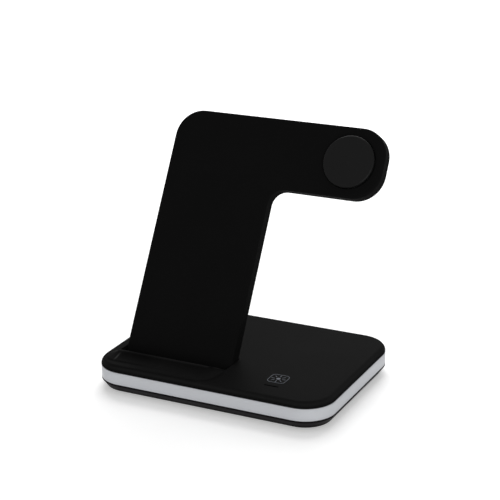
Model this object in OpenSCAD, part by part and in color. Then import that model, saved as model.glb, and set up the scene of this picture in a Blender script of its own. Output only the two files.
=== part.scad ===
// Three-in-one charging station: a low base with a light band, a leaning upright with a side arm,
// a trough with a raised lip, and a round puck on the arm. Origin at the centre of the footprint.

/* [Base] */
// Width of the base along its front edge
base_w = 137.2; // [126:0.1:160]
// Depth of the base from front to back
base_d = 99.5; // [92:0.5:120]
// Corner radius of the base in plan
base_r = 17; // [14:0.5:22]
// Height of the lower shell
lower_h = 4.75; // [4.5:0.25:8]
// Inward slope of the lower shell at its bottom edge
lower_taper = 2.7; // [1:0.1:2.9]
// Upright rim at the top of the lower shell
lower_rim = 1; // [0.6:0.1:2]
// Thickness of the lower shell's floor
floor_t = 1.8; // [1.4:0.1:2.4]
// Height of the light band
band_h = 6.75; // [5.6:0.05:10]
// Thickness of the light band
band_t = 3; // [2:0.1:3.4]
// Height of the upper shell's edge above the band
upper_h = 3.45; // [3.2:0.05:5]
// Radius of the upper shell's top edge
edge_r = 3; // [1:0.1:3.1]
// Thickness of the upper shell's top wall
top_t = 2.2; // [1.6:0.1:2.6]
// Thickness of the upper shell's skirt inside the band
skirt_t = 1.4; // [1:0.1:1.8]
// Height of the shadow grooves over and under the band
groove_h = 0.35; // [0.2:0.05:0.6]
// Depth of the shadow grooves
groove_d = 0.5; // [0.2:0.05:0.8]

/* [Feet and screws] */
// Radius of a rubber foot
foot_r = 5.5; // [4:0.1:6.5]
// Height that a rubber foot stands out of the lower shell
foot_proud = 1.25; // [0.6:0.05:2]
// Depth of a foot's recess
foot_recess = 1; // [0.6:0.1:1.2]
// Distance of a foot's centre from the side of the base
foot_in_x = 17; // [14:0.5:24]
// Distance of a foot's centre from the front or back of the base
foot_in_y = 14.5; // [13.5:0.5:20]
// Shank radius of the case screws
screw_r = 1.2; // [0.9:0.05:1.4]
// Head radius of the case screws
screw_head_r = 2.3; // [1.8:0.1:2.6]
// Head height of the case screws
screw_head_h = 1.5; // [1:0.1:1.7]

/* [Lip and trough] */
// Height of the lip's crest above the top face
lip_h = 2.8; // [1:0.1:4]
// Distance of the crest from the front edge of the base
lip_crest = 16.5; // [14:0.25:20]
// Run of the lip's front slope from crest to foot
lip_run = 10.2; // [6:0.2:12]
// Run of the slope at the lip's left end
lip_run_left = 6; // [3:0.5:8]
// Run of the slope at the lip's right end
lip_run_right = 10.5; // [5:0.5:14]
// Step at the foot of the lip's slope
lip_step = 0.45; // [0.1:0.05:0.8]
// Distance of the touch key from the right side of the base
key_in_x = 34.8; // [30:0.1:40]
// Distance of the touch key from the front edge of the base
key_in_y = 23.1; // [21:0.1:30]
// Length of the engraved mark in front of the touch key
mark_len = 8; // [4:0.5:14]
// Distance of the engraved mark from the front edge of the base
mark_in_y = 13.4; // [8:0.1:16]
// Width of the engraved mark's line
mark_w = 0.9; // [0.4:0.05:1.4]
// Depth of the engraved mark
mark_d = 0.6; // [0.2:0.05:0.9]
// Thickness of the soft pad in the trough
pad_t = 1.1; // [0.8:0.1:1.4]
// Height of the soft pad above the trough's floor
pad_proud = 0.2; // [0:0.05:0.4]

/* [Stand] */
// Lean of the stand back from upright
lean = 30; // [20:0.5:35]
// Distance of the stand's front face from the base's front edge, at the top face
stand_setback = 28.5; // [27:0.25:31]
// Left edge of the upright from the base's left side
stand_left_in = 6.7; // [6.2:0.1:12]
// Width of the upright
upright_w = 64.8; // [60:0.1:70]
// Width of the whole stand with its arm
stand_w = 126.7; // [112:0.1:130]
// Length of the stand up its front face, from the base's top face
stand_len = 137.7; // [134:0.1:160]
// Height of the arm
arm_h = 39.1; // [35:0.1:48]
// Thickness of the stand
stand_t = 8; // [7.9:0.1:11]
// Radius of the stand's outer corners
stand_r = 15.5; // [8:0.5:17]
// Radius between the arm and the upright
crook_r = 8.5; // [3:0.5:12]
// Radius of the stand's long edges
stand_edge = 1.1; // [0.5:0.1:1.6]
// Wall thickness of the stand's covers
cover_t = 1.8; // [1.4:0.1:1.8]
// Depth of the front cover
front_depth = 5; // [4.4:0.1:5.4]

/* [Puck] */
// Radius of the charging puck
puck_r = 14.5; // [12:0.1:16]
// Height of the puck above the arm's face
puck_proud = 2; // [1:0.1:4]
// Distance of the puck's centre from the arm's right end
puck_in = 19.5; // [17:0.25:24]
// Depth of the dish in the puck's face
puck_dish = 0.5; // [0.2:0.05:0.7]

/* [Coils and boards] */
// Outer radius of the upright's two coils
coil_r = 22; // [16:0.5:23]
// Inner radius of a coil
coil_in_r = 10.5; // [6:0.5:12]
// Thickness of a coil
coil_t = 1; // [0.6:0.1:1.1]
// Thickness of a ferrite sheet
ferrite_t = 0.8; // [0.5:0.1:0.9]
// Distance of the upper coil's centre from the stand's top
coil_drop = 53.7; // [50:0.1:57]
// Distance between the centres of the two coils
coil_step = 26; // [18:1:28]
// Outer radius of the base's coil
pad_coil_r = 20; // [14:0.5:21]
// Centre of the base's coil from the right side of the base
pad_coil_in_x = 32; // [30:0.5:36]
// Centre of the base's coil from the back of the base
pad_coil_in_y = 36; // [34:0.5:44]
// Thickness of a circuit board
board_t = 1.2; // [0.8:0.1:1.6]
// Thickness of the steel bracket
bracket_t = 1.6; // [1:0.1:1.6]
// Thickness of the ballast plate
ballast_t = 4; // [2:0.25:6]

/* [Hidden] */
$fn = 72;

// Clearance of nested parts, of a screw in its hole, of stacked layers, and the seam between two covers
fit = 0.2;
thread_gap = 0.05;
layer_gap = 0.1;
seam = 0.12;
// Overlap that joins two shapes of one piece
eps = 0.01;

// Levels of the base
z_low = foot_proud;
z_floor = z_low + floor_t;
z_band = z_low + lower_h;
z_upper = z_band + band_h;
z_top = z_upper + upper_h;
z_under = z_top - top_t;

// Insets of the walls from the base's outline
led_gap = 1.7;
tray_in = band_t + led_gap;
skirt_out = tray_in + fit;
skirt_in = skirt_out + skirt_t;

// Lip and stand, measured from the centre of the base
crest_y = lip_crest - base_d / 2;
stand_y = stand_setback - base_d / 2;
stand_x0 = stand_left_in - base_w / 2;
stand_x1 = stand_x0 + stand_w;
upright_x1 = stand_x0 + upright_w;
upright_mid = stand_x0 + upright_w / 2;
arm_low = stand_len - arm_h;
arm_mid = stand_len - arm_h / 2;
root = -20;
corner_up = stand_len - stand_edge;
back_reach = stand_y + sin(lean) * corner_up + cos(lean) * (stand_t - stand_edge) + stand_edge;
base_y = (base_d / 2 - max(back_reach, base_d / 2)) / 2;

// Trough: its floor is square to the stand's face and runs out at the lip's crest
rest_p = (crest_y - stand_y) * sin(lean) + lip_h * cos(lean);
trough_x0 = stand_x0 - fit;
trough_x1 = upright_x1 + fit;
trough_reach = 16;
lip_x0 = stand_x0 + 2.8;
lip_x1 = upright_x1 - 8.3;
lip_back = stand_y - crest_y;
lip_back_left = 5;
pad_x0 = stand_x0 + 7;
pad_x1 = upright_x1 - 3;
pad_y0 = -8;
pad_y1 = -0.8;

// Seat of the stand in the base
seat_depth = 0.5 - rest_p * cos(lean);
seat_floor_t = 2;
seat_z = z_top - seat_depth;
slot_side = 0.5;

// Screws: the case screws stand under the feet, and their heads bear on bosses of the lower shell
foot_places = [for (sx = [-1, 1], sy = [-1, 1])
    [sx * (base_w / 2 - foot_in_x), sy * (base_d / 2 - foot_in_y)]];
boss_wall = 1.9;
boss_r = screw_r + boss_wall;
well_r = screw_head_r + fit;
bearing_z = z_low + foot_recess + screw_head_h + layer_gap;
bearing_t = 1.5;
flat_head_h = 0.8;

// Bracket: a leg inside the stand and a foot over the floor of the base
stand_boss_h = 1.8;
leg_y = cover_t + stand_boss_h;
leg_w = 40;
coil_low = stand_len - coil_drop - coil_step;
leg_top = coil_low - coil_r - 4;
bracket_z = z_floor + 3.2;
bracket_d = 24;
hole_in = 5;
hole_step = 10;
tip_gap = 1;
leg_foot_y = stand_y + (leg_y + bracket_t / 2) / cos(lean) - (z_top - bracket_z - bracket_t / 2) * tan(lean);
hole_x = leg_w / 2 - hole_in;
leg_holes = [for (sx = [-1, 1], k = [0, 1]) [upright_mid + sx * hole_x, leg_top - hole_in - k * hole_step]];
foot_holes = [for (sx = [-1, 1], k = [0, 1])
    [upright_mid + sx * hole_x, leg_foot_y + bracket_d - hole_in - k * hole_step]];

// Layers inside the stand, counted back from its front face
ferrite_margin = 2;
low_coil_y = cover_t + layer_gap;
high_coil_y = low_coil_y + coil_t + layer_gap;
ferrite_y = high_coil_y + coil_t + layer_gap;
rail_y = ferrite_y + ferrite_t;
stand_board_y = cover_t + 1.1;
stand_board_w = 44;
stand_board_h = 18;
stand_board_p = stand_len - cover_t - 4 - stand_board_h;
plug_h = 1.3;
plug_d = 4;
stand_chips = [[5, 4, 5, 5, 0.9], [12, 10, 4, 4, 0.9], [15, 3, 3, 1.6, 0.6], [30, 5, 6, 6, 1.1]];
ribbon_t = 0.3;
ribbon_w = 12;
lead_w = 5;
lead_lap = 5;
ribbon_y = layer_gap + max(leg_y + bracket_t, rail_y, stand_board_y + board_t + plug_h);

// Puck, counted outward from the arm's face
puck_x = stand_x1 - puck_in;
puck_flange_w = 1.6;
puck_flange_t = 1;
puck_wall = 0.9;
puck_round = 0.9;
puck_roof = puck_proud - puck_dish - puck_wall;
puck_back = -cover_t - layer_gap - puck_flange_t;
puck_coil_t = 1.4;
puck_magnet_r = 5.4;
dish_r = puck_r - 1.6;
dish_sphere = (dish_r * dish_r + puck_dish * puck_dish) / (2 * puck_dish);

// Main board with its socket, in the right rear of the base
usb_w = 8.94;
usb_h = 3.26;
usb_len = 7.3;
usb_wall = 0.3;
board_w = 54;
board_d = 30;
board_x1 = base_w / 2 - foot_in_x - boss_r - 3;
board_x0 = board_x1 - board_w;
board_y1 = base_d / 2 - skirt_in - 0.3;
board_y0 = board_y1 - board_d;
board_z = z_band + band_h / 2 - usb_h / 2 - board_t;
board_holes = [for (x = [board_x0 + 3.5, board_x1 - 3.5], y = [board_y0 + 3.5, board_y1 - 3.5]) [x, y]];
inlet_x = board_x0 + 12;
inlet_w = 16;
inlet_gap = 0.35;
main_chips = [[26, 16, 7, 7, 1], [37, 17, 6, 6, 2.8], [38, 6, 6, 6, 2.8], [27, 7, 5, 5, 1],
    [21, 18, 3, 1.6, 0.8], [21, 12, 3, 1.6, 0.8], [46, 12, 3, 6, 1.2], [12, 3, 4, 3, 0.9],
    [5.2, 6.5, 3.5, ribbon_w + 1, 1.5]];

// Coil of the base and touch key, under the top wall
pad_coil_x = base_w / 2 - pad_coil_in_x;
pad_coil_y = base_d / 2 - pad_coil_in_y;
key_x = base_w / 2 - key_in_x;
key_y = key_in_y - base_d / 2;
key_board = [24, 14];
key_r = 5.5;
key_t = 1.1;

// Ballast, behind the bracket and left of the main board
ballast_in = skirt_in + 0.4;
ballast_x0 = ballast_in + 2.5 - base_w / 2;
ballast_x1 = board_x0 - 2;
ballast_y0 = leg_foot_y + bracket_d + 2;
ballast_y1 = base_d / 2 - ballast_in;

// Light strip in the gap behind the band
strip_t = 0.4;
strip_in = band_t + 1.2;
strip_z0 = z_band + 1.2;
strip_z1 = z_upper - 1.8;
led_w = 3;
led_t = 0.9;
led_margin = 0.6;
led_pitch = 11;

// Moves its children from the centre of the base into the frame of the whole part
module placed() {
    translate([0, base_y, 0]) children();
}

// Frame of the leaning stand: x along the arm, y back through its thickness, z up its front face
module leaning() {
    translate([0, stand_y, z_top]) rotate([-lean, 0, 0]) children();
}

// Frame of the puck: its axis points out of the arm's face
module on_puck() {
    leaning() translate([puck_x, 0, arm_mid]) rotate([90, 0, 0]) children();
}

module disc(r, z0, z1) {
    translate([0, 0, z0]) cylinder(h = z1 - z0, r = r);
}

module ring(outer, inner, z0, z1) {
    difference() {
        disc(outer, z0, z1);
        disc(inner, z0 - 1, z1 + 1);
    }
}

module block(from, to) {
    translate(from) cube(to - from);
}

// Outline of the base, drawn in by an inset
module plan(inset = 0) {
    w = base_w - 2 * inset;
    d = base_d - 2 * inset;
    r = base_r - inset;
    square([w - 2 * r, d], center = true);
    square([w, d - 2 * r], center = true);
    for (sx = [-1, 1], sy = [-1, 1]) translate([sx * (w / 2 - r), sy * (d / 2 - r)]) circle(r);
}

module plan_slab(z0, z1, inset = 0) {
    translate([0, 0, z0]) linear_extrude(z1 - z0) plan(inset);
}

module plan_ring(z0, z1, outer, inner) {
    translate([0, 0, z0]) linear_extrude(z1 - z0) difference() {
        plan(outer);
        plan(inner);
    }
}

// Carries an edge profile round the base; its x counts outward from the corner's centre
module round_the_base(z0, z1) {
    cx = base_w / 2 - base_r;
    cy = base_d / 2 - base_r;
    centres = [[cx, cy], [-cx, cy], [-cx, -cy], [cx, -cy]];
    for (i = [0:3]) translate(centres[i]) rotate(90 * i) rotate_extrude(angle = 90) children();
    for (m = [0, 1]) mirror([m, 0, 0]) translate([cx, cy, 0])
        rotate([90, 0, 0]) linear_extrude(2 * cy) children();
    for (m = [0, 1]) mirror([0, m, 0]) translate([-cx, cy, 0])
        rotate([90, 0, 90]) linear_extrude(2 * cx) children();
    block([-cx, -cy, z0], [cx, cy, z1]);
}

// Side profile of the upper shell, with its rounded top edge and the groove over the band
module upper_profile() {
    core = base_r - edge_r;
    difference() {
        union() {
            translate([0, z_upper]) square([core, upper_h]);
            translate([core - eps, z_upper]) square([edge_r + eps, upper_h - edge_r]);
            translate([core, z_top - edge_r]) intersection() {
                circle(edge_r);
                square(edge_r);
            }
        }
        translate([base_r - groove_d, z_upper - 1]) square([groove_d + 1, groove_h + 1]);
    }
}

// Side profile of the lower shell: a short upright rim over a sloping wall, and the groove under the band
module lower_profile() {
    slope = [[base_r - lower_taper, z_low], [base_r, z_band - lower_rim], [base_r, z_band - groove_h]];
    groove = [[base_r - groove_d, z_band - groove_h], [base_r - groove_d, z_band]];
    polygon(concat([[0, z_low]], slope, groove, [[0, z_band]]));
}

// Height of the lip's slope, as a share of lip_h, from its foot at 0 to its crest at 1
function lip_rise(u) = let (s = min(u / 0.16, 1), step = lip_step / lip_h)
    step * s * s * (3 - 2 * s) + (1 - step) * pow(u, 1.65);

// One level line of the lip: a quarter ellipse round each end of the crest, front and back.
// Each quarter is given by the crest's end, its reach in x and y, and its start angle.
function lip_line(u) = let (k = 1 - u, n = 8, quarters = [
        [lip_x1, lip_run_right, lip_back, 0], [lip_x0, lip_run_left, lip_back_left, 90],
        [lip_x0, lip_run_left, lip_run, 180], [lip_x1, lip_run_right, lip_run, 270]])
    [for (q = quarters, i = [0:n]) let (a = q[3] + 90 * i / n)
        [q[0] + k * q[1] * cos(a), crest_y + k * q[2] * sin(a)]];

// The lip before the trough is cut: level lines stacked from just under the top face up to the crest
module lip_hump() {
    levels = [0, 0.05, 0.1, 0.15, 0.2, 0.3, 0.4, 0.5, 0.6, 0.7, 0.8, 0.88, 0.96];
    rings = concat(
        [[for (q = lip_line(0)) [q.x, q.y, z_top - 0.6]]],
        [for (u = levels) [for (q = lip_line(u)) [q.x, q.y, z_top + lip_h * lip_rise(u)]]]);
    n = len(rings[0]);
    m = len(rings);
    polyhedron(
        points = [for (line = rings, q = line) q],
        faces = concat(
            [[for (i = [0:n - 1]) i]],
            [for (k = [0:m - 2], i = [0:n - 1])
                [k * n + i, (k + 1) * n + i, (k + 1) * n + (i + 1) % n, k * n + (i + 1) % n]],
            [[for (i = [n - 1:-1:0]) (m - 1) * n + i]]));
}

// Space over the trough's floor, square to the stand's face
module trough_space() {
    leaning() block([trough_x0, -trough_reach, rest_p], [trough_x1, 1, rest_p + 20]);
}

// The soft pad on the trough's floor, or its recess when it is grown
module pad_body(grow = 0) {
    leaning() block([pad_x0 - grow, pad_y0 - grow, rest_p + pad_proud - pad_t],
        [pad_x1 + grow, pad_y1 + grow, rest_p + pad_proud + 10 * grow]);
}

// Space that the stand's lower end fills in the upper shell
module seat_space() {
    intersection() {
        leaning() block([stand_x0 - fit, -fit, root], [upright_x1 + fit, stand_t + fit, 20]);
        block([-base_w, -base_d, seat_z], [base_w, base_d, z_top + 20]);
    }
}

// Slot under the seat, for the bracket's leg and the ribbon behind it
module leg_slot() {
    leaning() block([upright_mid - leg_w / 2 - slot_side, leg_y - slot_side, root],
        [upright_mid + leg_w / 2 + slot_side, ribbon_y + ribbon_t + slot_side, 0]);
}

// Outline of the stand in its own plane, drawn in by an inset
module stand_outline(inset = 0) {
    r = stand_r - inset;
    translate([stand_x0 + inset, root]) square([upright_w - 2 * inset, stand_len - stand_r - root]);
    translate([stand_x0 + stand_r, arm_low + inset]) square([stand_w - 2 * stand_r, arm_h - 2 * inset]);
    translate([stand_x0 + inset, arm_low + stand_r]) square([stand_w - 2 * inset, arm_h - 2 * stand_r]);
    translate([stand_x0 + stand_r, stand_len - stand_r]) circle(r);
    translate([stand_x1 - stand_r, stand_len - stand_r]) circle(r);
    translate([stand_x1 - stand_r, arm_low + stand_r]) circle(r);
    difference() {
        translate([upright_x1 - inset - 1, arm_low - crook_r]) square(crook_r + inset + 1);
        translate([upright_x1 + crook_r, arm_low - crook_r]) circle(crook_r + inset);
    }
}

// A layer of the stand between two depths
module stand_layer(y0, y1, inset = 0) {
    translate([0, y1, 0]) rotate([90, 0, 0]) linear_extrude(y1 - y0) stand_outline(inset);
}

module quarter_round() {
    intersection() {
        circle(stand_edge);
        square(stand_edge);
    }
}

// Rounded edge all round the stand's face, from a quarter round along each side and corner
module face_edging() {
    e = stand_edge;
    r = stand_r;
    // left side, right side of the upright, right end of the arm: x, start, length, mirrored
    for (s = [[stand_x0 + e, root, stand_len - r - root, 1],
        [upright_x1 - e, root, arm_low - crook_r - root, 0],
        [stand_x1 - e, arm_low + r, arm_h - 2 * r, 0]])
        translate([s[0], e, s[1]]) mirror([s[3], 0, 0]) mirror([0, 1, 0])
            linear_extrude(s[2]) quarter_round();
    // top side and underside of the arm: start, height, length, mirrored
    for (s = [[stand_x0 + r, stand_len - e, stand_w - 2 * r, 0],
        [upright_x1 + crook_r, arm_low + e, stand_w - upright_w - crook_r - r, 1]])
        translate([s[0], e, s[1]]) mirror([0, 0, s[3]]) mirror([0, 1, 0])
            rotate([90, 0, 90]) linear_extrude(s[2]) quarter_round();
    // outer corners: centre and start angle
    for (c = [[stand_x0 + r, stand_len - r, 90], [stand_x1 - r, stand_len - r, 0],
        [stand_x1 - r, arm_low + r, -90]])
        translate([c[0], e, c[1]]) rotate([90, 0, 0]) rotate(c[2]) rotate_extrude(angle = 90)
            translate([r - e, 0]) quarter_round();
    // inner corner under the arm
    translate([upright_x1 + crook_r, e, arm_low - crook_r]) rotate([90, 0, 0]) rotate(90)
        rotate_extrude(angle = 90) translate([crook_r + e, 0]) mirror([1, 0]) quarter_round();
}

// Half of the stand's case as a solid, from its rounded face down to a depth
module stand_half(depth) {
    stand_layer(0, stand_edge, stand_edge);
    stand_layer(stand_edge, depth);
    face_edging();
}

module under_seat() {
    block([-base_w, -base_d, seat_z - 60], [base_w, base_d, seat_z]);
}

// Screw along +Z with a cross recess; its head is under the origin
module screw(length, head_h = screw_head_h) {
    cylinder(h = length, r = screw_r);
    difference() {
        disc(screw_head_r, -head_h, 0);
        for (a = [0, 90]) rotate(a) block([-1.3, -0.25, -head_h - 1], [1.3, 0.25, -head_h * 0.45]);
    }
}

// Mouth of the socket, seen from behind
module inlet_outline(grow = 0) {
    r = usb_h / 2 + grow;
    square([usb_w - usb_h, 2 * r], center = true);
    for (s = [-1, 1]) translate([s * (usb_w - usb_h) / 2, 0]) circle(r);
}

// Runs its 2D children forward from the rear face of the base, at the socket's place
module from_rear(depth0, depth1) {
    translate([inlet_x, base_d / 2 - depth0, board_z + board_t + usb_h / 2]) rotate([90, 0, 0])
        linear_extrude(depth1 - depth0) children();
}

module inlet_gap_space(side) {
    block([inlet_x - inlet_w / 2 - side, base_d / 2 - skirt_in - 1, z_low],
        [inlet_x + inlet_w / 2 + side, base_d / 2 + 1, z_upper]);
}

module base_top_shell() placed() color("#1b1b1d") {
    nest_r = pad_coil_r + ferrite_margin + fit;
    mark_y = mark_in_y - base_d / 2;
    difference() {
        union() {
            difference() {
                union() {
                    round_the_base(z_upper, z_top) upper_profile();
                    plan_ring(z_floor + fit, z_upper + eps, skirt_out, skirt_in);
                }
                plan_slab(z_upper - eps, z_under, skirt_in);
                inlet_gap_space(inlet_gap);
            }
            lip_hump();
            // bed of the trough and of the seat
            block([skirt_out - base_w / 2, crest_y + 3, seat_z - seat_floor_t],
                [trough_x1 + 1.6, stand_y + (stand_t + fit) / cos(lean) + 1.6, z_under + eps]);
            for (c = foot_places) translate([c.x, c.y, 0])
                disc(boss_r, bearing_z + bearing_t + layer_gap, z_under + eps);
            translate([pad_coil_x, pad_coil_y, 0])
                ring(nest_r + 1, nest_r, z_under - coil_t - ferrite_t - 3 * layer_gap, z_under + eps);
            for (s = [-1, 1]) translate([key_x + s * (key_board.x / 2 - 2), key_y, 0])
                disc(1.6, z_under - key_t - layer_gap, z_under + eps);
        }
        trough_space();
        pad_body(fit);
        seat_space();
        leg_slot();
        for (c = foot_places) translate([c.x, c.y, 0]) disc(screw_r + thread_gap, z_low, z_under - 0.8);
        // engraved mark in front of the touch key
        translate([key_x, mark_y, 0])
            block([-mark_len / 2, -mark_w / 2, z_top - mark_d], [mark_len / 2, mark_w / 2, z_top + 1]);
    }
}

module base_bottom_shell() placed() color("#232326") {
    rib_t = 1.2;
    rib_h = 2.5;
    difference() {
        union() {
            difference() {
                round_the_base(z_low, z_band) lower_profile();
                plan_slab(z_floor, z_band + 1, tray_in);
            }
            // wall round the socket, in the band's gap
            block([inlet_x - inlet_w / 2, base_d / 2 - tray_in, z_band - eps],
                [inlet_x + inlet_w / 2, base_d / 2, z_upper]);
            for (c = foot_places) translate([c.x, c.y, 0])
                disc(well_r + 1.6, z_floor - eps, bearing_z + bearing_t);
            for (c = foot_holes) translate([c.x, c.y, 0]) disc(boss_r, z_floor - eps, bracket_z);
            for (c = board_holes) translate([c.x, c.y, 0]) disc(boss_r, z_floor - eps, board_z);
            // ribs that frame the ballast
            for (x = [ballast_x0 - fit - rib_t, ballast_x1 + fit])
                block([x, ballast_y0 + 6, z_floor - eps], [x + rib_t, ballast_y1 - 10, z_floor + rib_h]);
            for (x = [ballast_x0 + 14, ballast_x1 - 22])
                block([x, ballast_y0 - fit - rib_t, z_floor - eps],
                    [x + 8, ballast_y0 - fit, z_floor + rib_h]);
        }
        for (c = foot_places) translate([c.x, c.y, 0]) {
            disc(foot_r + fit, z_low - 1, z_low + foot_recess);
            disc(well_r, z_low, bearing_z);
            disc(screw_r + 2 * fit, z_low, z_band + band_h);
        }
        for (c = concat(foot_holes, board_holes)) translate([c.x, c.y, 0])
            disc(screw_r + thread_gap, z_low + 0.8, z_upper);
        from_rear(-1, tray_in + 1) inlet_outline(fit);
        from_rear(-1, 0.6) inlet_outline(0.7);
    }
}

module light_band() placed() color("#e6e9ee") {
    difference() {
        plan_ring(z_band, z_upper, 0, band_t);
        inlet_gap_space(layer_gap);
    }
}

// Flexible strip that stands in the gap behind the band, with its lamps facing out
module led_strip() placed() color("#f2efdc") {
    sides = [[base_w, base_d, 0], [base_d, base_w, 90]];
    difference() {
        union() {
            plan_ring(strip_z0, strip_z1, strip_in, strip_in + strip_t);
            for (s = sides, turn = [0, 180]) rotate(s[2] + turn)
                let (n = floor((s[0] / 2 - base_r) / led_pitch), y = s[1] / 2 - strip_in)
                for (x = [-n * led_pitch:led_pitch:n * led_pitch])
                    block([x - led_w / 2, y - eps, strip_z0 + led_margin],
                        [x + led_w / 2, y + led_t, strip_z1 - led_margin]);
        }
        inlet_gap_space(inlet_gap);
    }
}

module ballast_plate() placed() color("#8d9096") {
    difference() {
        intersection() {
            block([ballast_x0, ballast_y0, z_floor], [ballast_x1, ballast_y1, z_floor + ballast_t]);
            plan_slab(0, z_top, ballast_in);
        }
        for (c = foot_places) translate([c.x, c.y, 0]) disc(well_r + 2.4, 0, z_top);
    }
}

module rubber_feet() placed() color("#151515") {
    for (c = foot_places) translate([c.x, c.y, 0]) disc(foot_r, 0, foot_proud + foot_recess);
}

module case_screws() placed() color("#b9bcc2") {
    for (c = foot_places) translate([c.x, c.y, bearing_z]) screw(z_under - 1.4 - bearing_z);
}

module rest_pad() placed() color("#2a2a2c") {
    pad_body();
}

module stand_front_cover() placed() color("#19191b") {
    difference() {
        union() {
            difference() {
                leaning() stand_half(front_depth - seam);
                leaning() stand_layer(cover_t, front_depth + 1, cover_t);
                under_seat();
            }
            leaning() {
                for (c = leg_holes) translate([c.x, leg_y, c.y]) rotate([90, 0, 0])
                    disc(boss_r, 0, stand_boss_h + eps);
                for (s = [-1, 1]) translate([upright_mid + s * (coil_r + ferrite_margin + 0.8), 0, 0])
                    block([-0.5, cover_t - eps, coil_low - coil_r],
                        [0.5, rail_y, coil_low + coil_step + coil_r]);
                for (s = [-1, 1], p = [3, stand_board_h - 3])
                    translate([upright_mid + s * (stand_board_w / 2 - 3), stand_board_y, stand_board_p + p])
                        rotate([90, 0, 0]) disc(1.5, 0, stand_board_y - cover_t + eps);
            }
        }
        leaning() for (c = leg_holes) translate([c.x, leg_y, c.y]) rotate([90, 0, 0])
            disc(screw_r + thread_gap, -1, leg_y - 0.8);
        on_puck() disc(puck_r + fit, -cover_t - 1, 1);
    }
}

module stand_back_cover() placed() color("#19191b") {
    difference() {
        leaning() {
            difference() {
                translate([0, stand_t, 0]) mirror([0, 1, 0]) stand_half(stand_t - front_depth);
                stand_layer(front_depth - 1, stand_t - cover_t, cover_t);
            }
            // inner rim that nests in the front cover
            difference() {
                stand_layer(front_depth - 1.4, stand_t - cover_t + eps, cover_t + fit);
                stand_layer(front_depth - 2, stand_t - cover_t + 1, cover_t + fit + 1);
            }
        }
        under_seat();
    }
}

// Points along an arc from one angle to another
function arc(c, r, from, to) = let (n = 12)
    [for (i = [0:n]) let (a = from + (to - from) * i / n) c + r * [cos(a), sin(a)]];

// Strip that comes down inside the stand, turns and runs back level over the base's floor.
// Its middle lies at a depth in the stand and at a height; it reaches up to p and back to y.
module bent_strip(x0, x1, depth, height, t, bend, up, back) {
    half = (90 - lean) / 2;
    out = [-cos(lean), sin(lean)];
    low_p = (height - z_top + depth * sin(lean)) / cos(lean);
    corner = [stand_y + depth * cos(lean) + low_p * sin(lean), height];
    centre = corner + bend / sin(half) * [cos(half), sin(half)];
    top = corner + (up - low_p) * [sin(lean), cos(lean)];
    translate([x0, 0, 0]) rotate([90, 0, 90]) linear_extrude(x1 - x0) polygon(concat(
        [[back, height - t / 2]], arc(centre, bend + t / 2, 270, 180 - lean), [top + out * t / 2],
        [top - out * t / 2], arc(centre, bend - t / 2, 180 - lean, 270), [[back, height + t / 2]]));
}

// Bent steel bracket: a leg up inside the stand and a foot on four bosses of the lower shell
module stand_bracket() placed() color("#9a9da3") {
    difference() {
        bent_strip(upright_mid - leg_w / 2, upright_mid + leg_w / 2, leg_y + bracket_t / 2,
            bracket_z + bracket_t / 2, bracket_t, 1.2 * bracket_t, leg_top, leg_foot_y + bracket_d);
        leaning() for (c = leg_holes) translate([c.x, leg_y + bracket_t + 1, c.y]) rotate([90, 0, 0])
            cylinder(h = bracket_t + 2, r = screw_r + fit);
        for (c = foot_holes) translate([c.x, c.y, 0])
            disc(screw_r + fit, bracket_z - 1, bracket_z + bracket_t + 1);
    }
}

module bracket_screws() placed() color("#b9bcc2") {
    for (c = foot_holes) translate([c.x, c.y, bracket_z + bracket_t]) mirror([0, 0, 1])
        screw(bracket_z + bracket_t - z_low - tip_gap);
    leaning() for (c = leg_holes) translate([c.x, leg_y + bracket_t, c.y]) rotate([90, 0, 0])
        screw(leg_y + bracket_t - tip_gap, flat_head_h);
}

// A wound coil with its two tails, flat in the stand's plane
module stand_coil(p, y) {
    leaning() translate([upright_mid, y + coil_t, p]) rotate([90, 0, 0]) {
        ring(coil_r, coil_in_r, 0, coil_t);
        for (s = [-1, 1]) block([s * 2 - 0.5, coil_r - 1, 0], [s * 2 + 0.5, coil_r + 1.6, coil_t]);
    }
}

module coil_lower() placed() color("#a8642f") stand_coil(coil_low, low_coil_y);

module coil_upper() placed() color("#a8642f") stand_coil(coil_low + coil_step, high_coil_y);

module coil_ferrite() placed() color("#3a3a3e") {
    half = coil_r + ferrite_margin;
    leaning() block([upright_mid - half, ferrite_y, coil_low - half],
        [upright_mid + half, rail_y, coil_low + coil_step + half]);
}

// Chips and the like on a board, each given as [x, y, w, d, h] from the board's corner
module chips(list) {
    for (c = list) translate([c[0], c[1], -eps]) cube([c[2], c[3], c[4] + eps]);
}

module stand_board() placed() color("#1f5a38") {
    leaning() translate([upright_mid - stand_board_w / 2, stand_board_y, stand_board_p]) {
        cube([stand_board_w, board_t, stand_board_h]);
        translate([0, board_t, stand_board_h]) rotate([-90, 0, 0])
            chips(concat(stand_chips, [[stand_board_w / 2 - ribbon_w / 2, stand_board_h - plug_d - 0.5,
                ribbon_w, plug_d, plug_h]]));
    }
}

// Flat cable from the main board, over the bracket's foot and up behind the coils to the stand's board
module ribbon_cable() placed() color("#d8d4c4") {
    x0 = upright_mid - ribbon_w / 2;
    run_z = layer_gap + max(bracket_z + bracket_t, board_z + board_t);
    fold_y = board_y0 + 7;
    bent_strip(x0, x0 + ribbon_w, ribbon_y + ribbon_t / 2, run_z + ribbon_t / 2, ribbon_t, 1.2,
        stand_board_p + 4, fold_y + ribbon_w);
    block([x0, fold_y, run_z], [board_x0 + 5, fold_y + ribbon_w, run_z + ribbon_t]);
}

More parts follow.
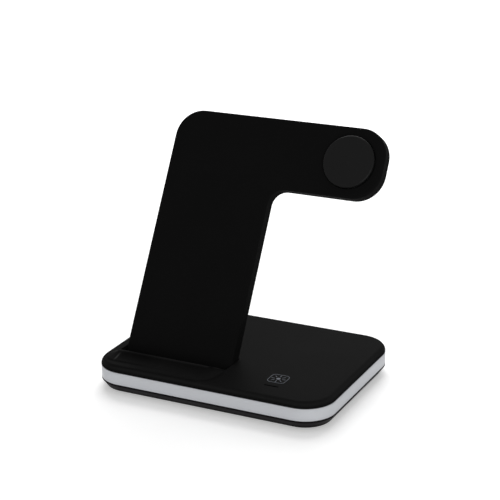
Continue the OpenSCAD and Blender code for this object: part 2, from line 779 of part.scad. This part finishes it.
// Round puck with a rounded rim, a dished face, a hollow back and a flange behind the arm's wall
module puck_housing() placed() color("#141416") {
    on_puck() difference() {
        union() {
            rotate_extrude() {
                translate([0, puck_back]) square([puck_r, puck_proud - puck_round - puck_back]);
                translate([0, puck_proud - puck_round - eps]) square([puck_r - puck_round, puck_round + eps]);
                translate([puck_r - puck_round, puck_proud - puck_round]) intersection() {
                    circle(puck_round);
                    square(puck_round);
                }
            }
            disc(puck_r + puck_flange_w, puck_back, puck_back + puck_flange_t);
        }
        disc(puck_r - 1, puck_back - 1, puck_roof);
        rotate_extrude() translate([0, puck_proud - puck_dish + dish_sphere]) intersection() {
            circle(dish_sphere, $fn = 900);
            translate([0, -dish_sphere - 1]) square([puck_r, dish_sphere]);
        }
    }
}

module puck_coil() placed() color("#a8642f") {
    top = puck_roof - layer_gap;
    on_puck() ring(puck_r - 1.6, puck_magnet_r + 0.8, top - puck_coil_t, top);
}

module puck_magnet() placed() color("#c4c6ca") {
    top = puck_roof - layer_gap;
    on_puck() disc(puck_magnet_r, top - puck_coil_t, top);
}

module puck_ferrite() placed() color("#3a3a3e") {
    top = puck_roof - puck_coil_t - 2 * layer_gap;
    on_puck() disc(puck_r - 1.3, top - ferrite_t, top);
}

// Flat lead from the stand's board along the arm to the back of the puck
module puck_lead() placed() color("#d8d4c4") {
    y = stand_board_y + board_t + layer_gap;
    leaning() block([upright_mid + stand_board_w / 2 - lead_lap, y, arm_mid - lead_w / 2],
        [puck_x - lead_lap, y + ribbon_t, arm_mid + lead_w / 2]);
}

module pad_coil() placed() color("#a8642f") {
    top = z_under - layer_gap;
    translate([pad_coil_x, pad_coil_y, 0]) ring(pad_coil_r, coil_in_r, top - coil_t, top);
}

module pad_ferrite() placed() color("#3a3a3e") {
    top = z_under - coil_t - 2 * layer_gap;
    translate([pad_coil_x, pad_coil_y, 0]) disc(pad_coil_r + ferrite_margin, top - ferrite_t, top);
}

module main_board() placed() color("#1f5a38") {
    difference() {
        union() {
            block([board_x0, board_y0, board_z], [board_x1, board_y1, board_z + board_t]);
            // tongue under the socket
            block([inlet_x - inlet_w / 2 + 1, board_y1 - eps, board_z],
                [inlet_x + inlet_w / 2 - 1, base_d / 2 - tray_in - 0.3, board_z + board_t]);
        }
        for (c = board_holes) translate([c.x, c.y, 0])
            disc(screw_r + fit, board_z - 1, board_z + board_t + 1);
    }
    translate([board_x0, board_y0, board_z + board_t])
        chips(main_chips);
}

module board_screws() placed() color("#b9bcc2") {
    for (c = board_holes) translate([c.x, c.y, board_z + board_t]) mirror([0, 0, 1])
        screw(board_z + board_t - z_low - tip_gap);
}

// Metal socket on the rear edge of the board, with its contact tongue
module usb_c_socket() placed() color("#c9ccd1") {
    difference() {
        from_rear(0.8, 0.8 + usb_len) inlet_outline();
        from_rear(0, usb_len - 0.4) inlet_outline(-usb_wall);
    }
    from_rear(2, usb_len) square([6.7, 0.7], center = true);
}

module touch_board() placed() color("#1f5a38") {
    top = z_under - key_t - 2 * layer_gap;
    translate([key_x, key_y, 0]) {
        block([-key_board.x / 2, -key_board.y / 2, top - board_t], [key_board.x / 2, key_board.y / 2, top]);
        disc(key_r, top - eps, z_under - layer_gap);
    }
}

base_top_shell();
base_bottom_shell();
light_band();
led_strip();
ballast_plate();
rubber_feet();
case_screws();
rest_pad();
stand_front_cover();
stand_back_cover();
stand_bracket();
bracket_screws();
coil_lower();
coil_upper();
coil_ferrite();
stand_board();
ribbon_cable();
puck_housing();
puck_coil();
puck_magnet();
puck_ferrite();
puck_lead();
pad_coil();
pad_ferrite();
main_board();
board_screws();
usb_c_socket();
touch_board();
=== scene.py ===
import math

import bmesh
import bpy
from mathutils import Matrix, Vector


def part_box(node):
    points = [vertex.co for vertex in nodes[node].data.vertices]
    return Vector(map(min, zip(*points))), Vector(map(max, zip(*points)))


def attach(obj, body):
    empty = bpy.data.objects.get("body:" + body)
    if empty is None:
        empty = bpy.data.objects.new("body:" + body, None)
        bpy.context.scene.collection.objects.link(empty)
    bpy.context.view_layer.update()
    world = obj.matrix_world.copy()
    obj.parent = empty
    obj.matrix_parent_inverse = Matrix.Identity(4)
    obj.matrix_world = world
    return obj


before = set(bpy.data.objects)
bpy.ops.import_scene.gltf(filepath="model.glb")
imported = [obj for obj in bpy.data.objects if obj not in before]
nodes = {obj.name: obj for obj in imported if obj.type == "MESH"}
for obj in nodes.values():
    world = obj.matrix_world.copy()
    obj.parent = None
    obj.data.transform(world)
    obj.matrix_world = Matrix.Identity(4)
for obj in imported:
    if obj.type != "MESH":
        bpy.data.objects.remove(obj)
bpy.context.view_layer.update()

mm = 1000  # millimetres in a metre
upright = Vector((0, 0, 1))
print("frame loaded:", len(nodes), "nodes")


# puts a value on a socket, or links a wire to it
def feed(node, name, value):
    if isinstance(value, Wire):
        value.tree.links.new(value.socket, node.inputs[name])
    else:
        node.inputs[name].default_value = value


# Shader maths written as Python: a Wire is one output socket
class Wire:
    def __init__(self, tree, socket=None):
        self.tree = tree
        self.socket = socket

    # any node: its type, its settings, the values or links of its sockets, the output wanted
    def make(self, kind, settings=None, values=None, output=0):
        node = self.tree.nodes.new(kind)
        for name, value in (settings or {}).items():
            setattr(node, name, value)
        for name, value in (values or {}).items():
            feed(node, name, value)
        return Wire(self.tree, node.outputs[output])

    def math(self, operation, *others):
        values = dict(enumerate((self, *others)))
        return self.make("ShaderNodeMath", {"operation": operation}, values)

    def flipped(self, operation, other):
        return self.make("ShaderNodeMath", {"operation": operation}, {0: other, 1: self})

    def __add__(self, other):
        return self.math("ADD", other)

    def __radd__(self, other):
        return self.flipped("ADD", other)

    def __sub__(self, other):
        return self.math("SUBTRACT", other)

    def __rsub__(self, other):
        return self.flipped("SUBTRACT", other)

    def __mul__(self, other):
        return self.math("MULTIPLY", other)

    def __rmul__(self, other):
        return self.flipped("MULTIPLY", other)

    def __truediv__(self, other):
        return self.math("DIVIDE", other)

    def __rtruediv__(self, other):
        return self.flipped("DIVIDE", other)

    def size(self):
        return self.math("ABSOLUTE")

    # smooth step from one value to another while this one goes from low to high
    def between(self, low, high, outLow=0.0, outHigh=1.0):
        values = {0: self, 1: low, 2: high, 3: outLow, 4: outHigh}
        return self.make("ShaderNodeMapRange", {"interpolation_type": "SMOOTHSTEP"}, values)

    # this value picks between two colours
    def blend(self, low, high):
        values = {"Factor": self, 6: low, 7: high}
        return self.make("ShaderNodeMix", {"data_type": "RGBA"}, values, 2)

    # a vector or colour with another one
    def vector(self, operation, other, output=0):
        values = {0: self, 1: other}
        return self.make("ShaderNodeVectorMath", {"operation": operation}, values, output)

    # a colour times a value
    def tinted(self, by):
        return self.make("ShaderNodeVectorMath", {"operation": "SCALE"}, {0: self, "Scale": by})

    def noise(self, scale, detail):
        values = {"Vector": self, "Scale": scale, "Detail": detail}
        return self.make("ShaderNodeTexNoise", None, values)

    def parts(self):
        split = self.make("ShaderNodeSeparateXYZ", None, {0: self}).socket.node
        return [Wire(self.tree, socket) for socket in split.outputs]

    # this height as a bump, on a normal where one is given
    def bump(self, strength, depth, normal=None):
        values = {"Height": self, "Strength": strength, "Distance": depth / mm}
        return self.make("ShaderNodeBump", None, values | ({"Normal": normal} if normal else {}))


def grey(value, tint=(1, 1, 1)):
    return tuple(value * share for share in tint) + (1,)


# An empty finish: its shader, and the position in millimetres in the part's own frame
def newFinish(name):
    material = bpy.data.materials.new(name)
    material.use_nodes = True
    place = Wire(material.node_tree).make("ShaderNodeTexCoord", output="Object")
    return material, material.node_tree.nodes["Principled BSDF"], place.vector("MULTIPLY", (mm, mm, mm))


def dress(node, material):
    slots = nodes[node].data.materials
    slots.clear()
    slots.append(material)


# middle and half size of a node's box, in millimetres
def boxOf(node):
    low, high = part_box(node)
    return (low + high) * mm / 2, (high - low) * mm / 2


# Camera, worked out from the straight edges and corners of the base
cameraSetup = {
    "place": (0.354165, -0.698518, 0.34986),
    "azimuth": 26.68,
    "elevation": 19.43,
    "roll": -0.72,
    "lens": 111.41,
    "sensor": 36,
    "nearest": 0.01,
}


def aimCamera(setup):
    azimuth, elevation, roll = (math.radians(setup[k]) for k in ("azimuth", "elevation", "roll"))
    level = math.cos(elevation)
    right = Vector((math.cos(azimuth), math.sin(azimuth), 0))
    back = Vector((math.sin(azimuth) * level, -math.cos(azimuth) * level, math.sin(elevation)))
    above = back.cross(right)
    turn = Matrix((
        right * math.cos(roll) + above * math.sin(roll),
        above * math.cos(roll) - right * math.sin(roll),
        back,
    )).transposed().to_4x4()
    data = bpy.data.cameras.new("camera")
    data.sensor_fit = "HORIZONTAL"
    data.sensor_width = setup["sensor"]
    data.lens = setup["lens"]
    data.clip_start = setup["nearest"]
    camera = bpy.data.objects.new("camera", data)
    bpy.context.scene.collection.objects.link(camera)
    camera.matrix_world = Matrix.Translation(setup["place"]) @ turn
    bpy.context.scene.camera = camera


aimCamera(cameraSetup)
print("camera set")

# Moulded shells: near black with a fine spark-eroded grain, and edges that are softly rounded
mouldedShell = {
    "colour": 0.0066,
    "colourDrift": 0.0006,
    "tint": (1, 1, 1),
    "roughness": 0.52,
    "specular": 0.0029,
    "grainSize": 3.2,
    "grainDetail": 3,
    "grainDepth": 0.02,
    "grainStrength": 0.5,
    "grainSpread": 0.12,
    "cloudSize": 0.045,
    "cloudDetail": 4,
    "cloudSpread": 0.08,
    "edgeRound": 0.0006,
    "edgeSamples": 6,
    "lip": None,
    "edges": None,
    "line": None,
}
upperShellHeight = 3.45
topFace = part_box("light_band")[1].z * mm + upperShellHeight
baseMiddle, baseHalf = boxOf("base_bottom_shell")
baseLeft, baseRight = baseMiddle.x - baseHalf.x, baseMiddle.x + baseHalf.x
baseFront = baseMiddle.y - baseHalf.y

# the raised lip in front of the stand: places from the base's left and front edges, and the light
# and shade painted on it, which stay with the part and don't follow the lamps
moundLip = {
    "left": 12.0,
    "right": 62.1,
    "crest": 16.5,
    "run": 14.1,
    "runLeft": 9.0,
    "runRight": 10.4,
    "runBack": 9.0,
    "fadeLeft": (6.0, 15.0),
    "fadeBack": (14.0, 22.0),
    "slope": (0.03, 0.8),
    "underCrest": 0.62,
    "overFoot": 1.25,
    "pastFoot": (0.85, 1.1),
    "crease": 1.6,
    "creaseShade": 0.38,
    "leftEnd": 20.0,
    "leftSpread": (4.0, 20.0),
    "leftShade": 0.38,
}
# a painted highlight streak at the lip's left end
lipHighlightStreak = {"across": 11.0, "reach": 0.9, "forward": 10.8, "spread": (0.5, 4.4), "lighter": 4.6}
# light and shade painted along the level edges: height and reach in millimetres, and how much. Painted
# highlights on the top face's rounded edge and on the lip's crest
paintedHighlightEdges = (
    {"height": topFace - 1.1, "reach": 1.3, "lighter": 0.9},
    {"height": topFace + 2.85, "reach": 0.65, "lighter": 2.8},
)
# painted shade on the lower shell, at its bottom edge and at its top under the band
paintedShadeEdges = (
    {"height": 1.2, "reach": 2.2, "lighter": -0.95},
    {"height": 5.7, "reach": 1.2, "lighter": -0.6},
)
# the sunk line in front of the touch key, with painted shade inside it
sunkLine = {
    "across": 34.8,
    "forward": 13.4,
    "length": 8.0,
    "width": 0.9,
    "margin": 0.1,
    "below": 0.08,
    "colour": 0.00033,
}


# how far down the lip's slope a place is, from 0 on the crest to 1 at the foot
def lipReach(x, y, lip):
    sides = (
        (x - lip["right"], lip["runRight"]),
        (lip["left"] - x, lip["runLeft"]),
        (lip["crest"] - y, lip["run"]),
        (y - lip["crest"], lip["runBack"]),
    )
    shares = [over.math("MAXIMUM", 0.0) / run for over, run in sides]
    return sum(share * share for share in shares).math("SQRT")


# the lip's painted shade: darkest under the crest, lighter down to a dark crease, which is drawn
# about 4 mm in front of the solid's own foot, where the real one lies
def lipShade(place, lip, streak):
    x, y = place.vector("SUBTRACT", (baseLeft, baseFront, 0)).parts()[:2]
    reach = lipReach(x, y, lip)
    slope = reach.between(*lip["slope"], lip["underCrest"], lip["overFoot"])
    leftEnd = (x - lip["leftEnd"]).size().between(*lip["leftSpread"], lip["leftShade"], 0.0)
    crease = ((reach - 1.0).size() * lip["run"]).between(0.0, lip["crease"], lip["creaseShade"], 0.0)
    shade = (slope - 1.0 - leftEnd) * (1.0 - reach.between(*lip["pastFoot"])) - crease
    onFront = x.between(*lip["fadeLeft"]) * y.between(*lip["fadeBack"], 1.0, 0.0)
    # the painted highlight streak at the lip's left end
    alongStreak = (y - streak["forward"]).size().between(*streak["spread"], 1.0, 0.0)
    onStreak = (x - streak["across"]).size().between(0.0, streak["reach"], streak["lighter"], 0.0)
    return shade * onFront + 1.0 + onStreak * alongStreak


# the painted light and shade of the edges that run level round the part
def edgeShade(place, edges):
    z = place.parts()[2]
    away = [(z - edge["height"]).size() for edge in edges]
    return 1.0 + sum(a.between(0.0, edge["reach"], edge["lighter"], 0.0) for a, edge in zip(away, edges))


# 1 inside the sunk line, which gets painted shade, and 0 elsewhere
def insideLine(place, line):
    x, y, z = place.parts()
    fromMiddle = (x - (baseRight - line["across"])).size()
    beside = (y - (baseFront + line["forward"])).size()
    inLength = fromMiddle.math("LESS_THAN", line["length"] / 2 + line["margin"])
    inWidth = beside.math("LESS_THAN", line["width"] / 2 + line["margin"])
    return inLength * inWidth * z.math("LESS_THAN", topFace - line["below"])


def mouldedPlastic(name, look):
    material, shader, place = newFinish(name)
    grain = place.noise(look["grainSize"], look["grainDetail"])
    cloud = place.noise(look["cloudSize"], look["cloudDetail"])
    dark, light = (look["colour"] + side * look["colourDrift"] for side in (-1, 1))
    colour = cloud.blend(grey(dark, look["tint"]), grey(light, look["tint"]))
    # painted light and shade in the base colour: the lip's shade, crease and highlight streak, highlights
    # and shade along level edges, and shade in the sunk line
    if look["lip"]:
        colour = colour.tinted(lipShade(place, look["lip"], lipHighlightStreak))
    if look["edges"]:
        colour = colour.tinted(edgeShade(place, look["edges"]))
    if look["line"]:
        colour = insideLine(place, look["line"]).blend(colour, grey(look["line"]["colour"]))
    spread = (grain - 0.5) * look["grainSpread"] + (cloud - 0.5) * look["cloudSpread"]
    edge = place.make("ShaderNodeBevel", {"samples": look["edgeSamples"]}, {"Radius": look["edgeRound"]})
    feed(shader, "Base Color", colour)
    feed(shader, "Roughness", spread + look["roughness"])
    feed(shader, "Specular IOR Level", look["specular"])
    feed(shader, "Normal", grain.bump(look["grainStrength"], look["grainDepth"], edge))
    return material


# the top shell carries painted light and shade on its lip, along its level edges and in its sunk line
topShell = {"lip": moundLip, "edges": paintedHighlightEdges, "line": sunkLine}
bottomShell = {
    "colour": 0.0165,
    "tint": (1.04, 0.94, 1.03),
    "roughness": 0.46,
    "specular": 0.03,
    "edges": paintedShadeEdges,
}
standCase = {"grainSize": 2.8}
puckCase = {"roughness": 0.3, "specular": 0.08, "grainDepth": 0.005}

dress("base_top_shell", mouldedPlastic("shellBlack", mouldedShell | topShell))
dress("base_bottom_shell", mouldedPlastic("shellGrey", mouldedShell | bottomShell))
dress("puck_housing", mouldedPlastic("puckBlack", mouldedShell | puckCase))
standBlack = mouldedPlastic("standBlack", mouldedShell | standCase)
for cover in ("stand_front_cover", "stand_back_cover"):
    dress(cover, standBlack)

# Light band: a milky guide, a little brighter in the middle of its height
bandLook = {
    "edge": (0.60, 0.615, 0.645, 1),
    "middle": (0.65, 0.665, 0.695, 1),
    "rim": (0.35, 1.0),
    "roughness": 0.32,
    "specular": 0.1,
    "cloudSize": 0.06,
    "cloudDetail": 3,
    "cloudMix": 0.12,
    "cloudSpread": 0.1,
}


def milkyBand(look):
    material, shader, place = newFinish("milkyBand")
    middle, half = boxOf("light_band")
    rim = ((place.parts()[2] - middle.z) / half.z).size().between(*look["rim"])
    cloud = place.noise(look["cloudSize"], look["cloudDetail"]) - 0.5
    feed(shader, "Base Color", (rim + cloud * look["cloudMix"]).blend(look["middle"], look["edge"]))
    feed(shader, "Roughness", look["roughness"] + cloud * look["cloudSpread"])
    feed(shader, "Specular IOR Level", look["specular"])
    return material


dress("light_band", milkyBand(bandLook))
print("shells and band dressed")

# Plain metals, rubber and the like: colour drift and a grain, stretched along one direction if brushed
plainStock = {
    "metallic": 0.0,
    "specular": 0.5,
    "grain": (1, 1, 1),
    "grainSize": 1.5,
    "grainSpread": 0.2,
    "grainDepth": 0.01,
    "grainStrength": 0.5,
    "cloudSize": 0.1,
    "detail": 3,
    "drift": 0.15,
}
plainLooks = {
    "steelPlate": {
        "nodes": ("ballast_plate", "stand_bracket"),
        "colour": (0.5, 0.51, 0.52),
        "roughness": 0.35,
        "metallic": 1.0,
        "grain": (0.3, 6, 6),
    },
    "screwSteel": {
        "nodes": ("case_screws", "bracket_screws", "board_screws"),
        "colour": (0.55, 0.55, 0.54),
        "roughness": 0.3,
        "metallic": 1.0,
        "grain": (3, 3, 3),
    },
    "nickel": {
        "nodes": ("puck_magnet", "usb_c_socket"),
        "colour": (0.62, 0.62, 0.6),
        "roughness": 0.25,
        "metallic": 1.0,
    },
    "footRubber": {
        "nodes": ("rubber_feet",),
        "colour": (0.018, 0.018, 0.018),
        "roughness": 0.8,
        "specular": 0.2,
    },
    "padRubber": {
        "nodes": ("rest_pad",),
        "colour": (0.014, 0.014, 0.015),
        "roughness": 0.7,
        "specular": 0.15,
    },
    "ferriteGrey": {
        "nodes": ("coil_ferrite", "puck_ferrite", "pad_ferrite"),
        "colour": (0.05, 0.05, 0.053),
        "roughness": 0.55,
    },
    "flatCable": {
        "nodes": ("ribbon_cable", "puck_lead"),
        "colour": (0.6, 0.55, 0.42),
        "roughness": 0.45,
        "grain": (6, 0.2, 0.2),
    },
}


def plainFinish(name, look):
    look = plainStock | look
    material, shader, place = newFinish(name)
    fine = place.vector("MULTIPLY", look["grain"]).noise(look["grainSize"], look["detail"])
    cloud = place.noise(look["cloudSize"], look["detail"])
    dark, light = (tuple(c * (1 + side * look["drift"]) for c in look["colour"]) + (1,) for side in (-1, 1))
    feed(shader, "Base Color", cloud.blend(dark, light))
    feed(shader, "Roughness", look["roughness"] + (fine - 0.5) * look["grainSpread"])
    feed(shader, "Metallic", look["metallic"])
    feed(shader, "Specular IOR Level", look["specular"])
    feed(shader, "Normal", fine.bump(look["grainStrength"], look["grainDepth"]))
    return material


for name, look in plainLooks.items():
    finish = plainFinish(name, look)
    for node in look["nodes"]:
        dress(node, finish)

# Circuit boards: green lacquer over tracks up to the board's thickness, and parts above it
boardLook = {
    "lacquer": (0.012, 0.10, 0.045, 1),
    "track": (0.025, 0.17, 0.08, 1),
    "low": (0.012, 0.012, 0.013, 1),
    "tall": (0.10, 0.10, 0.105, 1),
    "tallFrom": 2.0,
    "partFrom": 0.03,
    "thickness": 1.2,
    "trackPitch": 1.3,
    "trackSlant": 0.4,
    "trackEdge": (0.55, 0.75),
    "patchSize": 0.22,
    "patchEdge": (0.50, 0.53),
    "areaSize": 0.15,
    "areaEdge": (0.42, 0.46),
    "roughness": 0.30,
    "partRougher": 0.25,
    "specular": 0.4,
    "speckleSize": 4,
    "speckleDetail": 3,
    "speckleSpread": 0.15,
    "trackBump": 0.5,
    "speckleBump": 0.3,
    "bumpStrength": 0.4,
    "bumpDepth": 0.03,
}
electrode = {"low": (0.60, 0.36, 0.14, 1), "tall": (0.60, 0.36, 0.14, 1)}
lean = math.radians(30)
standNormal = Vector((0, -math.cos(lean), math.sin(lean)))


def boardFinish(node, axis, look):
    material, shader, place = newFinish("board_" + node)
    matrix, vertices = nodes[node].matrix_world, nodes[node].data.vertices
    face = min((matrix @ vertex.co).dot(axis) for vertex in vertices) * mm + look["thickness"]
    height = place.vector("DOT_PRODUCT", tuple(axis), 1) - face
    x, y = place.parts()[:2]
    patches = place.noise(look["patchSize"], 1).between(*look["patchEdge"])
    turns = (x + y * look["trackSlant"] * patches) * (2 * math.pi / look["trackPitch"])
    tracks = turns.math("SINE").between(*look["trackEdge"])
    areas = place.noise(look["areaSize"], 0).between(*look["areaEdge"])
    lacquer = (tracks * areas).blend(look["lacquer"], look["track"])
    parts = height.math("GREATER_THAN", look["tallFrom"]).blend(look["low"], look["tall"])
    isPart = height.math("GREATER_THAN", look["partFrom"])
    speckle = place.noise(look["speckleSize"], look["speckleDetail"])
    rougher = isPart * look["partRougher"] + (speckle - 0.5) * look["speckleSpread"]
    relief = tracks * look["trackBump"] + speckle * look["speckleBump"]
    feed(shader, "Base Color", isPart.blend(lacquer, parts))
    feed(shader, "Roughness", look["roughness"] + rougher)
    feed(shader, "Specular IOR Level", look["specular"])
    feed(shader, "Normal", relief.bump(look["bumpStrength"], look["bumpDepth"]))
    return material


dress("main_board", boardFinish("main_board", upright, boardLook))
dress("stand_board", boardFinish("stand_board", -standNormal, boardLook))
dress("touch_board", boardFinish("touch_board", upright, boardLook | electrode))

# Light strip: white film, and lamps that stand out of it with a yellowish lens
stripLook = {
    "film": (0.72, 0.72, 0.70, 1),
    "lens": (0.80, 0.62, 0.22, 1),
    "lampDepth": 0.9,
    "margin": 0.05,
    "roughness": 0.5,
    "lampSmoother": 0.3,
    "speckleSize": 3,
    "speckleDetail": 2,
    "speckleSpread": 0.1,
    "bumpStrength": 0.3,
    "bumpDepth": 0.02,
}


def stripFinish(look):
    material, shader, place = newFinish("lampStrip")
    middle, half = boxOf("led_strip")
    x, y = place.vector("SUBTRACT", (middle.x, middle.y, 0)).parts()[:2]
    fromSide = (x.size() - half.x).math("MAXIMUM", y.size() - half.y)
    isLamp = fromSide.math("GREATER_THAN", look["margin"] - look["lampDepth"])
    speckle = place.noise(look["speckleSize"], look["speckleDetail"])
    spread = (speckle - 0.5) * look["speckleSpread"]
    feed(shader, "Base Color", isLamp.blend(look["film"], look["lens"]))
    feed(shader, "Roughness", look["roughness"] - isLamp * look["lampSmoother"] + spread)
    feed(shader, "Normal", speckle.bump(look["bumpStrength"], look["bumpDepth"]))
    return material


dress("led_strip", stripFinish(stripLook))

# Coils: rings of copper wire round the coil's middle, in the plane square to its axis, with painted shade
# between the turns
coilLook = {
    "gap": (0.16, 0.055, 0.02, 1),
    "wire": (0.72, 0.33, 0.15, 1),
    "pitch": 0.9,
    "metallic": 0.9,
    "roughness": 0.45,
    "wireSmoother": 0.15,
    "bumpStrength": 0.8,
    "bumpDepth": 0.3,
}


def woundCopper(node, axis, look):
    material, shader, place = newFinish("copper_" + node)
    fromMiddle = place.vector("SUBTRACT", tuple(boxOf(node)[0]))
    along = fromMiddle.vector("DOT_PRODUCT", tuple(axis), 1)
    radius = (fromMiddle.vector("DOT_PRODUCT", fromMiddle, 1) - along * along).math("SQRT")
    turns = (radius * (2 * math.pi / look["pitch"])).math("SINE") * 0.5 + 0.5
    # painted shade between the turns of wire
    feed(shader, "Base Color", turns.blend(look["gap"], look["wire"]))
    feed(shader, "Roughness", look["roughness"] - turns * look["wireSmoother"])
    feed(shader, "Metallic", look["metallic"])
    feed(shader, "Normal", turns.bump(look["bumpStrength"], look["bumpDepth"]))
    return material


for node in ("coil_lower", "coil_upper", "puck_coil"):
    dress(node, woundCopper(node, standNormal, coilLook))
dress("pad_coil", woundCopper("pad_coil", upright, coilLook))
print("inner pieces dressed")

# Printed mark of the touch key, in metres: a rounded square with a lamp and its rays
touchMark = {
    "across": 0.0352,
    "forward": 0.0231,
    "size": 0.0101,
    "corner": 0.0024,
    "cornerSteps": 6,
    "line": 0.00028,
    "dot": 0.0011,
    "dotSides": 20,
    "rays": 8,
    "rayFrom": 0.0022,
    "rayTo": 0.0041,
    "rayHalfWidth": 0.6,  # as a share of the line
    "thickness": 0.00003,
    "ink": {"colour": (0.105, 0.115, 0.137), "roughness": 0.5, "specular": 0.05},
}


def roundedSquare(half, corner, steps):
    points = []
    for quarter, (sideX, sideY) in enumerate(((1, 1), (-1, 1), (-1, -1), (1, -1))):
        for i in range(steps + 1):
            angle = math.pi / 2 * (quarter + i / steps)
            points.append((
                sideX * (half - corner) + corner * math.cos(angle),
                sideY * (half - corner) + corner * math.sin(angle),
            ))
    return points


# faces from one closed row of points to the next
def joinRows(mesh, lower, upper):
    for i in range(len(lower)):
        j = (i + 1) % len(lower)
        mesh.faces.new((lower[i], lower[j], upper[j], upper[i]))


def inkRing(mesh, outer, inner, thickness):
    levels = ((outer, 0), (outer, thickness), (inner, thickness), (inner, 0))
    rows = [[mesh.verts.new((x, y, z)) for x, y in outline] for outline, z in levels]
    for lower, upper in zip(rows, rows[1:] + rows[:1]):
        joinRows(mesh, lower, upper)


def inkPatch(mesh, outline, thickness):
    lower, upper = ([mesh.verts.new((x, y, z)) for x, y in outline] for z in (0, thickness))
    mesh.faces.new(lower[::-1])
    mesh.faces.new(upper)
    joinRows(mesh, lower, upper)


def printMark(look):
    mesh = bmesh.new()
    half, corner, line, thickness = look["size"] / 2, look["corner"], look["line"], look["thickness"]
    outer = roundedSquare(half, corner, look["cornerSteps"])
    inner = roundedSquare(half - line, corner - line, look["cornerSteps"])
    inkRing(mesh, outer, inner, thickness)
    angles = [2 * math.pi * i / look["dotSides"] for i in range(look["dotSides"])]
    inkPatch(mesh, [(look["dot"] * math.cos(a), look["dot"] * math.sin(a)) for a in angles], thickness)
    start, end, width = look["rayFrom"], look["rayTo"], line * look["rayHalfWidth"]
    for ray in range(look["rays"]):
        turn = Matrix.Rotation(2 * math.pi * ray / look["rays"], 2)
        bar = ((start, -width), (end, -width), (end, width), (start, width))
        inkPatch(mesh, [tuple(turn @ Vector(point)) for point in bar], thickness)
    centre = Vector((baseRight / mm - look["across"], baseFront / mm + look["forward"], topFace / mm))
    bmesh.ops.translate(mesh, verts=mesh.verts, vec=centre)
    bmesh.ops.recalc_face_normals(mesh, faces=mesh.faces)
    data = bpy.data.meshes.new("touch_mark")
    mesh.to_mesh(data)
    mesh.free()
    data.materials.append(plainFinish("markInk", look["ink"]))
    mark = bpy.data.objects.new("touch_mark", data)
    bpy.context.scene.collection.objects.link(mark)
    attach(mark, "root")


printMark(touchMark)
print("touch mark printed")

# Floor, sky and lamps, in metres and watts
studio = {
    "floorColour": 0.90,
    "floorSize": 2.6,
    "floorGlow": 0.34,
    "world": 0.36,
    "aim": (0, 0, 0.05),
}
keyLamp = {"place": (-0.35, 0.93, 0.95), "size": 1.4, "power": 17.2}
fillLamp = {"place": (0.86, -1.38, 0.34), "size": 1.2, "power": 9.0}


# 1 for the rays that show the background: straight to the camera, or by way of gloss or glass
def shownRays(tree):
    kinds = ("Is Camera Ray", "Is Glossy Ray", "Is Transmission Ray")
    camera, glossy, through = (Wire(tree).make("ShaderNodeLightPath", output=kind) for kind in kinds)
    return camera.math("MAXIMUM", glossy).math("MAXIMUM", through)


def layFloor(look):
    bpy.ops.mesh.primitive_plane_add(size=look["floorSize"], location=(0, 0, 0))
    floor = bpy.context.object
    floor.name = "floor"
    material, shader, place = newFinish("paleFloor")
    tree = material.node_tree
    matte = place.make("ShaderNodeBsdfDiffuse", None, {"Color": grey(look["floorColour"])})
    glow = place.make("ShaderNodeEmission", None, {"Strength": shownRays(tree) * look["floorGlow"]})
    both = place.make("ShaderNodeAddShader", None, {0: matte, 1: glow})
    feed(tree.nodes["Material Output"], "Surface", both)
    tree.nodes.remove(shader)
    floor.data.materials.append(material)


def lightSky(look):
    world = bpy.data.worlds.new("studio")
    bpy.context.scene.world = world
    world.use_nodes = True
    background = world.node_tree.nodes["Background"]
    feed(background, "Color", grey(1))
    shown = shownRays(world.node_tree)
    feed(background, "Strength", shown * (1 - look["world"]) + look["world"])


def hangLamp(name, lamp, aim):
    data = bpy.data.lights.new(name, "AREA")
    data.shape = "DISK"
    data.size = lamp["size"]
    data.energy = lamp["power"]
    hung = bpy.data.objects.new(name, data)
    bpy.context.scene.collection.objects.link(hung)
    hung.location = lamp["place"]
    hung.rotation_euler = (Vector(aim) - Vector(lamp["place"])).to_track_quat("-Z", "Y").to_euler()


layFloor(studio)
lightSky(studio)
hangLamp("keyLamp", keyLamp, studio["aim"])
hangLamp("fillLamp", fillLamp, studio["aim"])
bpy.context.scene.view_settings.view_transform = "Standard"
print("studio lit")
